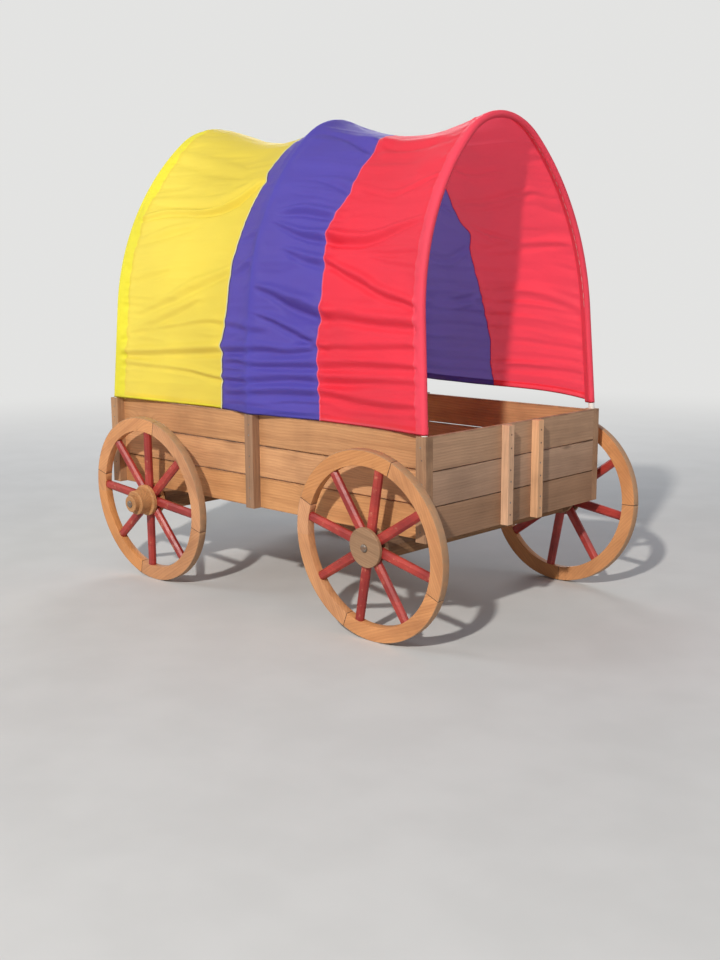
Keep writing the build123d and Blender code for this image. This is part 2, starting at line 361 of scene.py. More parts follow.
def arch(half_spring, rise, offset, left_lift):
    """Points (y, z) from the right hem to the left one, in a hoop's plane."""
    tilt = atan2(spring_inset, spring_height)
    side = arch_fullness * (half_spring ** 2 + (rise - spring_height) ** 2) / (2 * half_spring)
    side_y = half_spring - side * cos(tilt)
    side_z = spring_height - side * sin(tilt)
    high = rise - side_z
    crown = (side ** 2 - side_y ** 2 - high ** 2) / (2 * (side - high))
    crown_z = rise - crown
    angles = np.linspace(tilt, atan2(crown_z - side_z, -side_y), arch_points)
    reach = side + offset
    arc = np.stack([side_y + reach * np.cos(angles), side_z + reach * np.sin(angles)], 1)
    start = atan2(arc[-1, 1] - crown_z, arc[-1, 0])
    angles = np.linspace(start, pi / 2, arch_points)[1:]
    reach = crown + offset
    top = np.stack([reach * np.cos(angles), crown_z + reach * np.sin(angles)], 1)
    halves = []
    for lift in (0, left_lift):
        foot_z = hem_height + lift
        foot_y = arc[0, 0] + (arc[0, 1] - foot_z) * np.tan(tilt)
        halves.append(np.concatenate([[(foot_y, foot_z)], arc, top]))
    right, left = halves
    return np.concatenate([right * (-1, 1), left[::-1][1:]])


def evenly(points, count):
    """A path's points moved to even distances along it, and its length."""
    steps = np.hypot(*np.diff(points, axis=0).T)
    length = np.concatenate([[0], np.cumsum(steps)])
    at = np.linspace(0, length[-1], count)
    return np.stack([np.interp(at, length, points[:, k]) for k in (0, 1)], 1), length[-1]


def hem_lift(to_end_hoop):
    return end_lift + middle_lift * (1 - np.exp(-to_end_hoop / lift_reach))


def section(station, rows, offset):
    """The cloth's section at a station along the hem, as points in space, and its length."""
    bay = 0 if station < 0 else 1
    share = (station + hoop_reach * (1 - bay)) / hoop_reach
    lean = radians(hoop_leans[bay] + share * (hoop_leans[bay + 1] - hoop_leans[bay]))
    rise = hoop_rises[bay] + share * (hoop_rises[bay + 1] - hoop_rises[bay])
    eased = share ** rear_sag_skew if bay == 0 else share
    slack = 4 * eased * (1 - eased)
    near_hoop = min(share, 1 - share) / hoop_softness
    slack = slack * (1 - 1 / (1 + near_hoop ** 2))
    half_spring = post_y - spring_inset - cover_side_sag * slack
    lift = hem_lift(hoop_reach - abs(station))
    path = arch(half_spring, rise - cover_sag * slack, offset, lift)
    points, length = evenly(path, rows)
    place = np.stack([box_x + station + points[:, 1] * sin(lean), points[:, 0],
                      box_top + points[:, 1] * cos(lean)], 1)
    return place, length


# Where the seams cross the cover, as (share of the way up, station) on each side
rear_seam = {
    "right": [(0, -0.245), (0.17, -0.24), (0.206, -0.252), (0.24, -0.23), (0.33, -0.208),
              (0.46, -0.208), (0.58, -0.185), (0.69, -0.165), (0.735, -0.15), (0.775, -0.195),
              (0.83, -0.18), (0.89, -0.168), (1, -0.165)],
    "left": [(0, -0.245), (0.3, -0.225), (0.6, -0.19), (0.8, -0.17), (1, -0.165)],
}
front_seam = {
    "right": [(0, 0.41), (0.22, 0.4), (0.36, 0.428), (0.47, 0.425), (0.53, 0.4), (0.59, 0.394),
              (0.69, 0.446), (0.78, 0.446), (0.84, 0.455), (0.9, 0.425), (1, 0.37)],
    "left": [(0, 0.49), (0.07, 0.472), (0.15, 0.478), (0.3, 0.425), (0.39, 0.396),
             (0.46, 0.388), (0.515, 0.42), (0.55, 0.376), (0.61, 0.358), (0.7, 0.368),
             (0.85, 0.372), (1, 0.37)],
}


def seam_line(seam, share):
    """The seam's station at each row of the cover, with its kinks rounded a little."""
    height = 1 - np.abs(2 * share - 1)
    halves = [np.interp(height, *np.array(seam[side]).T) for side in sides]
    line = np.where(share < 0.5, *halves)
    window = np.hanning(seam_window)
    padded = np.pad(line, seam_window // 2, mode="edge")
    return np.convolve(padded, window / window.sum(), mode="valid")


def make_noise(seed):
    """A smooth noise from -1 to 1 that changes once in each unit of x and y. Its callers multiply
    metres by a number of changes in a metre."""
    cells = 64
    table = np.random.default_rng(seed).uniform(-1, 1, (cells, cells))

    def noise(x, y):
        low_x, low_y = np.floor(x).astype(int), np.floor(y).astype(int)
        part_x, part_y = x - low_x, y - low_y
        part_x = part_x * part_x * (3 - 2 * part_x)
        part_y = part_y * part_y * (3 - 2 * part_y)
        this_x, next_x = low_x % cells, (low_x + 1) % cells
        this_y, next_y = low_y % cells, (low_y + 1) % cells
        low = table[this_x, this_y] * (1 - part_x) + table[next_x, this_y] * part_x
        high = table[this_x, next_y] * (1 - part_x) + table[next_x, next_y] * part_x
        return low * (1 - part_y) + high * part_y
    return noise


# Folds and waves: first factors and shares, then lengths in metres
fold_width = 1.4
fold_slope = 1.2
fold_sharpness = 0.8
fold_change = 0.25
folds_on_hoop = 0.6
crown_part = (0.42, 0.58)
fold_wander = 0.004
fold_out = 0.07
fold_in = 0.05
wave_length = 0.072
wave_depth = 0.0045
hoop_lift = 0.0055
lifted_reach = 0.11
hoop_fade = (0.010, 0.060)
low_part = (0.36, 0.55)
seam_fade = 0.045
swell_depth = 0.006
gather_depth = 0.0026
gather_place = 0.010
gather_reach = 0.024
stitch_depth = 0.0014
stitch_reach = 0.006
seam_pull = 0.0010
pull_reach = 0.030
hem_groove = 0.0010
groove_reach = 0.005

# Folds of the cover as the photograph shows them: points (x, height along the cloth from the
# hem, half width) of the face that looks down, in metres, and that face's slope
right_folds = [
    ([(-0.95, 0.895, 0.012), (-0.79, 0.926, 0.013), (-0.52, 0.921, 0.015),
      (-0.35, 0.979, 0.017), (-0.22, 1.09, 0.013)], 1.35),
    ([(-0.92, 0.99, 0.018), (-0.7, 0.977, 0.026), (-0.49, 0.985, 0.026),
      (-0.3, 1.09, 0.016)], 0.2),
    ([(-0.97, 0.77, 0.014), (-0.74, 0.826, 0.02), (-0.56, 0.86, 0.012)], 0.4),
    ([(-1.0, 0.585, 0.02), (-0.85, 0.609, 0.022), (-0.7, 0.632, 0.014)], 0.4),
    ([(-0.9, 0.43, 0.014), (-0.68, 0.498, 0.02), (-0.52, 0.553, 0.026),
      (-0.26, 0.64, 0.018)], 0.6),
    ([(-1.0, 0.33, 0.014), (-0.83, 0.373, 0.02), (-0.69, 0.425, 0.022),
      (-0.48, 0.495, 0.014)], 0.5),
    ([(-0.95, 1.27, 0.03), (-0.64, 1.195, 0.04), (-0.42, 1.14, 0.024)], 0.25),
    ([(-0.24, 0.62, 0.014), (-0.14, 0.66, 0.018), (-0.05, 0.71, 0.014)], 0.55),
    ([(-0.22, 0.775, 0.012), (-0.11, 0.81, 0.014), (-0.05, 0.83, 0.012)], 0.45),
    ([(0.02, 1.39, 0.014), (0.16, 1.344, 0.026), (0.37, 1.258, 0.046)], 0.5),
    ([(0.14, 1.075, 0.01), (0.27, 1.049, 0.02), (0.38, 1.01, 0.028)], 0.65),
    ([(0.06, 1.015, 0.014), (0.2, 0.993, 0.016), (0.36, 0.968, 0.018)], 0.45),
    ([(0.04, 0.905, 0.014), (0.16, 0.91, 0.02), (0.36, 0.878, 0.02)], 0.9),
    ([(-0.01, 0.862, 0.008), (0.13, 0.816, 0.016), (0.22, 0.795, 0.02), (0.39, 0.77, 0.024)], 0.9),
    ([(0.08, 0.735, 0.008), (0.2, 0.693, 0.02), (0.39, 0.668, 0.022)], 0.85),
    ([(-0.06, 0.566, 0.01), (0.07, 0.532, 0.024), (0.15, 0.503, 0.034), (0.24, 0.478, 0.038),
      (0.39, 0.44, 0.034)], 1.0),
    ([(-0.05, 0.45, 0.008), (0.07, 0.418, 0.02), (0.24, 0.36, 0.024), (0.37, 0.312, 0.018)], 0.85),
    ([(0.34, 1.316, 0.022), (0.49, 1.272, 0.03), (0.72, 1.276, 0.022)], 0.3),
    ([(0.42, 1.025, 0.01), (0.57, 0.989, 0.013), (0.66, 0.985, 0.013), (0.86, 1.055, 0.01)], 0.5),
    ([(0.33, 0.787, 0.022), (0.47, 0.771, 0.022), (0.6, 0.778, 0.02), (0.84, 0.85, 0.012)], 0.85),
    ([(0.52, 0.721, 0.01), (0.71, 0.72, 0.016), (0.92, 0.723, 0.012)], 0.45),
    ([(0.57, 0.702, 0.008), (0.73, 0.673, 0.012), (0.92, 0.66, 0.012)], 0.5),
    ([(0.34, 0.686, 0.012), (0.47, 0.631, 0.02), (0.59, 0.592, 0.024), (0.71, 0.549, 0.022),
      (0.93, 0.498, 0.018)], 1.0),
    ([(0.34, 0.457, 0.026), (0.49, 0.447, 0.028), (0.64, 0.436, 0.028),
      (0.96, 0.432, 0.024)], 0.8),
    ([(-0.26, 0.08, 0.017), (-0.04, 0.102, 0.019), (0.19, 0.11, 0.023), (0.37, 0.118, 0.022),
      (0.52, 0.108, 0.022), (0.76, 0.098, 0.02), (0.97, 0.112, 0.016)], 0.75),
    ([(-1.03, 0.176, 0.016), (-0.68, 0.172, 0.014), (-0.4, 0.15, 0.014), (-0.19, 0.145, 0.017),
      (0.08, 0.167, 0.023), (0.4, 0.179, 0.024), (0.64, 0.189, 0.018), (0.97, 0.201, 0.016)], 0.8),
    ([(-0.26, 0.226, 0.016), (-0.04, 0.226, 0.017), (0.19, 0.232, 0.021), (0.4, 0.243, 0.022),
      (0.76, 0.262, 0.02), (0.97, 0.262, 0.016)], 0.75),
    ([(-1.03, 0.228, 0.018), (-0.68, 0.248, 0.022), (-0.4, 0.266, 0.022), (-0.19, 0.281, 0.02),
      (0.0, 0.291, 0.019), (0.19, 0.29, 0.017), (0.4, 0.319, 0.018), (0.64, 0.33, 0.019),
      (0.97, 0.341, 0.018)], 0.8),
    ([(-1.03, 0.31, 0.016), (-0.82, 0.348, 0.012), (-0.6, 0.378, 0.012), (-0.4, 0.403, 0.014),
      (-0.19, 0.389, 0.02), (0.0, 0.375, 0.018)], 0.6),
    ([(-0.21, 0.318, 0.008), (-0.1, 0.326, 0.009), (0.02, 0.318, 0.007)], 0.55),
    ([(-0.24, 0.187, 0.009), (-0.1, 0.192, 0.009), (0.02, 0.19, 0.008)], 0.7),
    ([(-0.24, 0.033, 0.01), (-0.1, 0.042, 0.01), (0.02, 0.043, 0.008)], 0.7),
    ([(0.09, 0.059, 0.008), (0.23, 0.072, 0.01), (0.38, 0.078, 0.01)], 0.7),
    ([(0.0, 0.01, 0.008), (0.2, 0.017, 0.009), (0.39, 0.024, 0.008)], 0.55),
]
left_folds = [
    ([(-0.98, 1.0, 0.02), (-0.6, 0.9, 0.028), (-0.25, 0.98, 0.02)], 0.7),
    ([(-0.94, 0.74, 0.016), (-0.62, 0.7, 0.024), (-0.22, 0.8, 0.018)], 0.6),
    ([(-0.98, 0.5, 0.018), (-0.6, 0.52, 0.022), (-0.2, 0.44, 0.018)], 0.55),
    ([(-0.18, 0.92, 0.014), (0.02, 0.96, 0.022), (0.24, 0.86, 0.018)], 0.65),
    ([(-0.1, 0.66, 0.014), (0.12, 0.6, 0.02), (0.3, 0.66, 0.016)], 0.6),
    ([(-0.12, 0.42, 0.014), (0.14, 0.38, 0.02), (0.36, 0.44, 0.016)], 0.55),
    ([(0.36, 1.1, 0.02), (0.47, 1.05, 0.022), (0.62, 1.06, 0.018)], 0.55),
    ([(0.3, 0.88, 0.018), (0.54, 0.906, 0.022), (0.74, 0.95, 0.018)], 0.55),
    ([(0.37, 0.76, 0.014), (0.46, 0.727, 0.018), (0.58, 0.7, 0.014)], 0.6),
    ([(0.43, 0.655, 0.014), (0.62, 0.678, 0.02), (0.84, 0.71, 0.016)], 0.6),
    ([(0.4, 0.42, 0.02), (0.64, 0.45, 0.024), (0.93, 0.4, 0.02)], 0.45),
    ([(0.4, 0.088, 0.018), (0.7, 0.114, 0.022), (0.92, 0.128, 0.018)], 0.55),
]


# The cover's relief


def along_curve(points):
    """Points along a smooth curve through the given ones."""
    points = np.array(points, float)
    at = np.linspace(0, len(points) - 1, curve_points)
    low = np.clip(np.floor(at).astype(int), 0, len(points) - 2)
    part = (at - low)[:, None]
    before = points[np.maximum(low - 1, 0)]
    after = points[np.minimum(low + 2, len(points) - 1)]
    a, b = points[low], points[low + 1]
    return 0.5 * (2 * a + (b - before) * part + (2 * before - 5 * a + 4 * b - after) * part ** 2
                  + (3 * a - before - 3 * b + after) * part ** 3)


def fold_field(x, height, folds, wander):
    """Relief of the folds. Each has a face that looks down, with a sharp lower edge, between faces
    that look up, and wanders a little."""
    total = np.zeros_like(x)
    for number, (points, slope) in enumerate(folds):
        curve = along_curve(points)
        level = np.interp(x, curve[:, 0], curve[:, 1])
        width = np.interp(x, curve[:, 0], curve[:, 2])
        level = level + fold_wander * wander(x * 6 + 7 * number, x * 0 + 3 * number)
        rear, front = curve[0, 0], curve[-1, 0]
        ends = smooth_step(x, rear - fold_out, rear + fold_in)
        ends *= 1 - smooth_step(x, front - fold_in, front + fold_out)
        force = slope * (1 + fold_change * wander(x * 2.6 + 11 * number, x * 0 + 4))
        away = height - level
        reach = fold_width * np.where(away < 0, fold_sharpness * width, width)
        total += fold_slope * ends * force * away * np.exp(-np.abs(away / reach) ** 3)
    return total


def wrinkles(x, height, seed, depth):
    """Soft waves that run along the wagon above the hem, and shallow ones over the rest."""
    tilt, strength = make_noise(seed), make_noise(seed + 1)
    middle, fine = make_noise(seed + 2), make_noise(seed + 3)
    level = height + 0.018 * tilt(x * 2.0, height * 2.5) + 0.004 * tilt(x * 8, height * 7 + 9)
    low = 1 - smooth_step(height, 0.34, 0.62)
    phase = 2 * pi * level / wave_length + 1.1 * tilt(x * 1.3 + 20, height * 6)
    force = np.clip(0.95 + 0.60 * strength(x * 2.4, level * 9), 0.3, 1.5)
    force *= 0.62 + 0.38 * smooth_step(x, -0.35, -0.15)
    swing = 3 * strength(x * 2, level * 4)
    waves = depth * force * (np.sin(phase) + 0.30 * np.sin(2.3 * phase + swing))
    ridge = 1 - 2 * np.abs(middle(x * 3.4 + 3, level * 24))
    drape = 1 - 2 * np.abs(middle(x * 2.1 + 13, level * 11 + 5))
    total = low * waves + 0.0040 * ridge * (0.45 + 0.30 * low) + 0.0060 * drape * (1 - 0.8 * low)
    return total + 0.0007 * fine(x * 13, level * 62)


def cloth_points():
    """The cover as one grid of points, with each point's station, its way up from the right hem
    and the whole way from hem to hem there, and the columns in each breadth."""
    stations = np.linspace(-hoop_reach, hoop_reach, section_count)
    _, longest = section(0.0, 3, 0)
    rows = 2 * round(longest / row_step / 2) + 1
    share = np.linspace(0, 1, rows)
    offset = pipe_radius + cloth_gap
    table = np.zeros((len(stations), rows, 3))
    lengths = np.zeros(len(stations))
    for i, station in enumerate(stations):
        table[i], lengths[i] = section(station, rows, offset)
    borders = [np.full(rows, -hoop_reach), seam_line(rear_seam, share),
               seam_line(front_seam, share), np.full(rows, hoop_reach)]
    counts = [round(np.mean(b - a) / column_step) for a, b in zip(borders, borders[1:])]
    columns = []
    for count, low, high in zip(counts, borders, borders[1:]):
        columns += [low + part * (high - low) for part in np.arange(count) / count]
    columns.append(borders[-1])
    station = np.array(columns).T
    place = np.zeros(station.shape + (3,))
    for row in range(rows):
        for k in range(3):
            place[row, :, k] = np.interp(station[row], stations, table[:, row, k])
    whole = np.interp(station, stations, lengths)
    return place, station, whole * share[:, None], whole, counts


def cloth_relief(place, station, arc, whole, seams):
    """How far each point of the cover stands off its smooth surface."""
    x = place[:, :, 0]
    right = arc
    left = whole - arc
    to_hem = np.minimum(right, left)
    to_seam = np.min([np.abs(station - seam[:, None]) for seam in seams], axis=0)
    to_middle_hoop = np.abs(station)
    to_end_hoop = hoop_reach - to_middle_hoop
    on_left = smooth_step(arc / whole, *crown_part)
    folds = (1 - on_left) * fold_field(x, right, right_folds, make_noise(5))
    folds -= on_left * fold_field(x, left, left_folds, make_noise(6))
    small = (1 - on_left) * wrinkles(x, right, 11, 0.25 * wave_depth)
    small += on_left * wrinkles(x, left, 31, wave_depth)
    off_seam = smooth_step(to_seam, 0.0, seam_fade)
    relief = folds * (0.38 + 0.62 * off_seam)
    relief += small * (0.50 + 0.50 * off_seam)
    swell = make_noise(41)
    relief += swell_depth * swell(x * 3.1, arc * 3.3)
    relief = relief * smooth_step(to_end_hoop, *hoop_fade)
    low = 1 - smooth_step(to_hem, *low_part)
    on_hoop = 1 - smooth_step(to_middle_hoop, *hoop_fade)
    relief = relief * (1 - on_hoop * (1 - folds_on_hoop * low))
    relief += hoop_lift * low * (1 - smooth_step(to_middle_hoop, 0.0, lifted_reach))
    pucker = make_noise(51)
    from_stitch = to_end_hoop - np.where(station < 0, rear_sleeve, front_sleeve)
    stitched = np.exp(-((from_stitch - gather_place) / gather_reach) ** 2)
    gathers = 1 - 2 * np.abs(pucker(arc * 38, to_end_hoop * 5))
    relief += gather_depth * gathers * stitched
    relief -= stitch_depth * np.exp(-(from_stitch / stitch_reach) ** 2)
    pulls = 1 - 2 * np.abs(pucker(arc * 26 + 9, to_seam * 6))
    relief += seam_pull * pulls * np.exp(-(to_seam / pull_reach) ** 2)
    relief -= hem_groove * np.exp(-((to_hem - hem_fold) / groove_reach) ** 2)
    return relief


def over_pipe(place):
    """Lifts the cloth off the middle pipe where it would cut into it."""
    rows = place.shape[0]
    path = arch(post_y - spring_inset, hoop_rises[1], 0, hem_lift(hoop_reach))
    points, _ = evenly(path, rows)
    centre = np.stack([np.full(rows, box_x), points[:, 0], box_top + points[:, 1]], 1)
    around = np.gradient(centre, axis=0)
    around /= np.linalg.norm(around, axis=1, keepdims=True)
    upward = np.cross(around, (1.0, 0.0, 0.0))
    upward *= np.sign(upward[rows // 2, 2])
    offset = place - centre[:, None]
    along = offset[:, :, 0]
    height = np.sum(offset * upward[:, None], axis=2)
    clear = pipe_radius + cloth_gap
    needed = np.sqrt(np.maximum(clear ** 2 - along ** 2, 0))
    short = np.where(np.abs(along) < clear, np.maximum(needed - height, 0), 0)
    return place + upward[:, None] * short[:, :, None]


# The cover's pieces


def surface_normals(place):
    along = np.gradient(place, axis=1)
    around = np.gradient(place, axis=0)
    normal = np.cross(along, around)
    normal /= np.linalg.norm(normal, axis=2, keepdims=True)
    middle = normal[normal.shape[0] // 2, normal.shape[1] // 2]
    return normal if middle[2] > 0 else -normal


def sleeve_columns(edge, outward, lean, sleeve):
    """Columns that carry the cloth round an end pipe and back to its stitching underneath."""
    axis = np.array((cos(lean), 0, -sin(lean))) * outward
    around = np.gradient(edge, axis=0)
    normal = np.cross(around, axis) * outward
    normal /= np.linalg.norm(normal, axis=1, keepdims=True)
    if normal[len(normal) // 2, 2] < 0:
        normal = -normal
    radius = pipe_radius + cloth_gap
    centre = edge - normal * radius
    columns = []
    for angle in np.linspace(0, pi, pipe_columns)[1:]:
        columns.append(centre + radius * (cos(angle) * normal + sin(angle) * axis))
    for share in np.linspace(0, 1, back_columns)[1:]:
        drop = -radius * (1 - share) + (radius - stitch_drop) * share
        columns.append(centre + normal * drop - axis * sleeve * share)
    return columns


def add_cover():
    place, station, arc, whole, counts = cloth_points()
    seams = (station[:, counts[0]], station[:, counts[0] + counts[1]])
    relief = cloth_relief(place, station, arc, whole, seams)
    place = over_pipe(place + surface_normals(place) * relief[:, :, None])
    rear_wrap = sleeve_columns(place[:, 0], -1, radians(hoop_leans[0]), rear_sleeve)[::-1]
    front_wrap = sleeve_columns(place[:, -1], 1, radians(hoop_leans[2]), front_sleeve)
    grid = np.concatenate([np.stack(rear_wrap, 1), place, np.stack(front_wrap, 1)], 1)
    normals = surface_normals(grid)
    before = len(rear_wrap)
    middle_row = grid[len(grid) // 2]
    along = np.concatenate([[0], np.cumsum(np.linalg.norm(np.diff(middle_row, axis=0), axis=1))])
    after = before + station.shape[1]
    # Each point's place in the flat cloth and its distance from the hem, for the material
    flat = np.zeros(grid.shape)
    flat[:, :before, 0] = along[:before] - along[before] - hoop_reach
    flat[:, before:after, 0] = station
    flat[:, after:, 0] = along[after:] - along[after - 1] + hoop_reach
    flat[:, :before, 1] = arc[:, :1]
    flat[:, before:after, 1] = arc
    flat[:, after:, 1] = arc[:, -1:]
    flat[:, :, 2] = 1.0
    flat[:, before:after, 2] = np.minimum(arc, whole - arc)
    first = before + counts[0]
    second = first + counts[1]
    cuts = [(0, first, "rear", "yellow"), (first, second, "middle", "blue"),
            (second, grid.shape[1] - 1, "front", "red")]
    for low, high, name, colour in cuts:
        part = grid[:, low:high + 1]
        right, left = hem_rows(part)
        points = np.concatenate([right, part, left])
        own = flat[:, low:high + 1]
        marks = np.concatenate([own[:len(right)][::-1], own, own[-len(left):][::-1]])
        piece = grid_piece("cloth_" + name, points)
        store(piece, "flat", marks)
        if colour == "blue":
            store(piece, "seam", marks - marks[:, :1])
        piece.data.materials.append(cloth_material(colour))
        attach(piece, "root")
        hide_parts("cover_" + name)
        if name != "front":
            add_piping(grid[:, high], normals[:, high], name)


def hem_rows(part):
    """The turned-up edge at the right and the left hem, a hair inside the cloth."""
    steps = int(hem_fold / row_step) + 1
    right = [moved_in(part[row]) for row in range(steps, 0, -1)]
    left = [moved_in(part[-1 - row]) for row in range(1, steps + 1)]
    return np.stack(right), np.stack(left)


def moved_in(line):
    moved = line.copy()
    moved[:, 1] -= hem_inset * np.sign(line[:, 1])
    return moved


def add_piping(line, normal, name):
    """The raised strip along a seam."""
    width, height, colour = piping_sizes[name]
    around = np.gradient(line, axis=0)
    across = np.cross(around, normal)
    across /= np.linalg.norm(across, axis=1, keepdims=True)
    strip = np.stack([line + across * width * a + normal * height * b
                      for a, b in piping_profile], 1)
    piece = grid_piece("piping_" + name, strip)
    marks = np.zeros(strip.shape)
    marks[:, :, 0] = np.array([a for a, _ in piping_profile]) * width
    marks[:, :, 1] = np.arange(len(line))[:, None] * row_step
    marks[:, :, 2] = 1.0
    store(piece, "flat", marks)
    piece.data.materials.append(cloth_material(colour))
    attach(piece, "root")
    return piece


# Each cloth's colour, and the brighter one where it lies double
cloth_colours = {
    "yellow": (rgb(253, 232, 84), rgb(255, 252, 72)),
    "blue": (rgb(90, 83, 188), rgb(92, 85, 192)),
    "red": (rgb(252, 58, 76), rgb(255, 92, 114)),
    "piping": (rgb(250, 244, 186), rgb(250, 244, 186)),
    "pink": (rgb(255, 112, 134), rgb(255, 112, 134)),
}
shade = (0.10, 0.05, 0.05, 1)
light_through = (0.90, 0.52, 0.80, 1)
soil = rgb(150, 128, 104)
thread = rgb(225, 215, 200)
seam_shadow = rgb(40, 38, 78)


def cloth_material(colour):
    """Thin nylon: woven and creased, soiled near the hem, and stitched along its sleeves."""
    material, graph = new_material("nylon_" + colour)
    body, bright = cloth_colours[colour]
    x, y, to_hem = graph.split(graph.stored("flat"))
    sheet = graph.join(x, y, 0.0)
    warp = graph.math("SINE", graph.times(x, 2 * pi / thread_pitch))
    weft = graph.math("SINE", graph.times(y, 2 * pi / thread_pitch))
    crease = graph.noise(graph.vector("MULTIPLY", sheet, (7.0, 26.0, 1.0)), 1.0, 4.0, 0.55, 0.5)
    cloud = graph.noise(sheet, 2.1)
    to_rear = graph.plus(x, hoop_reach - rear_sleeve)
    to_front = graph.less(hoop_reach - front_sleeve, x)
    from_stitch = graph.math("MINIMUM", to_rear, to_front)
    doubled = graph.math("MAXIMUM", graph.ramp(from_stitch, -0.002, 0.002, 1.0, 0.0),
                         graph.ramp(to_hem, 0.012, 0.014, 1.0, 0.0))
    tone = graph.mix(graph.times(doubled, 0.8), body, bright)
    tone = graph.mix(graph.ramp(cloud, 0.35, 0.70, 0.0, 0.10), tone, shade)
    soiled = graph.times(graph.ramp(to_hem, 0.0, 0.05, 0.16, 0.0), graph.ramp(cloud, 0.3, 0.7))
    tone = graph.mix(soiled, tone, soil)
    along_thread = graph.math("FRACT", graph.math("DIVIDE", y, stitch_pitch))
    stitch = graph.times(graph.math("LESS_THAN", along_thread, 0.72),
                         graph.math("COMPARE", from_stitch, -0.003, 0.0005))
    tone = graph.mix(graph.times(stitch, 0.25), tone, thread)
    if colour == "blue":
        from_seam = graph.split(graph.stored("seam"))[0]
        tone = graph.mix(graph.ramp(from_seam, 0.009, 0.015, 0.9, 0.0), tone, seam_shadow)
    height = graph.math("MULTIPLY_ADD", graph.times(warp, weft), 0.05, crease)
    normal = graph.bump(height, 0.6, 0.0035)
    through = graph.mix(0.16, tone, light_through)
    glow = graph.node("ShaderNodeBsdfTranslucent", {"Color": through, "Normal": normal})
    outside = graph.surface(tone, 0.45, normal, specular=0.22)
    graph.show(graph.mix_shaders(0.36, outside, glow.outputs[0]))
    return material


# Wood


def wood_shader(graph, grain, board, tones, roughness, wear_and_shade, wear_and_shade_colour):
    """Grain runs along the first coordinate, and each board number looks different. The threes of
    numbers are changes in a metre along the grain, across it and into the board."""
    pale, dark = tones
    luck = graph.chance(board)
    other = graph.chance(graph.plus(board, 17.3))
    shift = graph.join(graph.times(luck, 9.0), graph.times(other, 3.0), luck)
    moved = graph.vector("ADD", grain, shift)
    long, wide, deep = graph.split(moved)
    bend = graph.noise(graph.vector("MULTIPLY", moved, (1.6, 3.0, 3.0)), 1.0)
    knot_place = graph.join(graph.times(long, 1.9), graph.times(wide, 6.0), luck)
    knot = graph.node("ShaderNodeTexVoronoi", {"Vector": knot_place, "Scale": 1.0})
    to_knot = knot.outputs["Distance"]
    near_knot = graph.ramp(to_knot, 0.02, 0.30, 1.0, 0.0)
    rings = graph.plus(graph.times(wide, 78.0), graph.times(bend, 5.0))
    rings = graph.plus(rings, graph.times(deep, 60.0))
    rings = graph.plus(rings, graph.times(near_knot, 2.6))
    saw = graph.math("FRACT", rings)
    late = graph.times(graph.ramp(saw, 0.25, 0.9), graph.ramp(saw, 0.9, 1.0, 1.0, 0.0))
    fibre = graph.noise(graph.vector("MULTIPLY", moved, (9.0, 330.0, 330.0)), 1.0, 3.0, 0.65)
    streak = graph.noise(graph.vector("MULTIPLY", moved, (2.2, 40.0, 40.0)), 1.0)
    stain = graph.noise(moved, 4.5, 3.0, 0.55)
    tone = graph.mix(graph.times(late, 0.20), pale, dark)
    tone = graph.mix(graph.ramp(streak, 0.38, 0.78, 0.0, 0.40), tone, dark)
    tone = graph.mix(graph.ramp(fibre, 0.42, 0.72, 0.0, 0.25), tone, dark)
    stained = graph.mix(0.4, dark, (0.05, 0.03, 0.02, 1))
    tone = graph.mix(graph.ramp(stain, 0.38, 0.78, 0.0, 0.35), tone, stained)
    knotted = graph.mix(0.45, dark, (0.015, 0.008, 0.004, 1))
    tone = graph.mix(graph.ramp(to_knot, 0.02, 0.10, 0.85, 0.0), tone, knotted)
    varied = graph.node("ShaderNodeHueSaturation",
                        {"Color": tone, "Value": graph.math("MULTIPLY_ADD", luck, 0.20, 0.90),
                         "Saturation": graph.math("MULTIPLY_ADD", other, 0.14, 0.87)})
    # The second tone over the wood: worn tread and joints on rims, tool grooves on hubs, darker
    # patches at the boards' edges, and painted shade towards the bottom of the end boards
    tone = graph.mix(wear_and_shade, varied.outputs[0], wear_and_shade_colour)
    normal = graph.bump(graph.plus(fibre, graph.times(late, 0.8)), 0.5, 0.0010)
    rough = graph.math("MULTIPLY_ADD", fibre, 0.25, roughness)
    graph.show(graph.surface(tone, rough, normal, specular=0.35))


# Each wood's pale and dark tone
plank_tones = (rgb(208, 151, 100), rgb(152, 101, 63))
end_tones = (rgb(192, 150, 116), rgb(146, 112, 84))
post_tones = (rgb(180, 138, 102), rgb(132, 98, 72))
# The middle posts' tones are a darker copy of the posts' tones: painted shade
shaded_post_tones = (rgb(156, 116, 84), rgb(112, 82, 60))
batten_tones = (rgb(228, 174, 128), rgb(168, 124, 88))
beam_tones = (rgb(150, 112, 78), rgb(92, 62, 42))
rim_tones = (rgb(214, 146, 86), rgb(164, 100, 54))
# The front hubs are greyer than the rear ones, as aged and dusty wood, and darker as painted shade
hub_tones = {"front": (rgb(162, 126, 94), rgb(108, 78, 56)),
             "rear": (rgb(200, 144, 92), rgb(126, 84, 52))}
# A darker tone for the boards: in patches near their edges, and as painted shade towards the
# bottom of the end boards
dark_edges_and_shade = rgb(96, 66, 48)


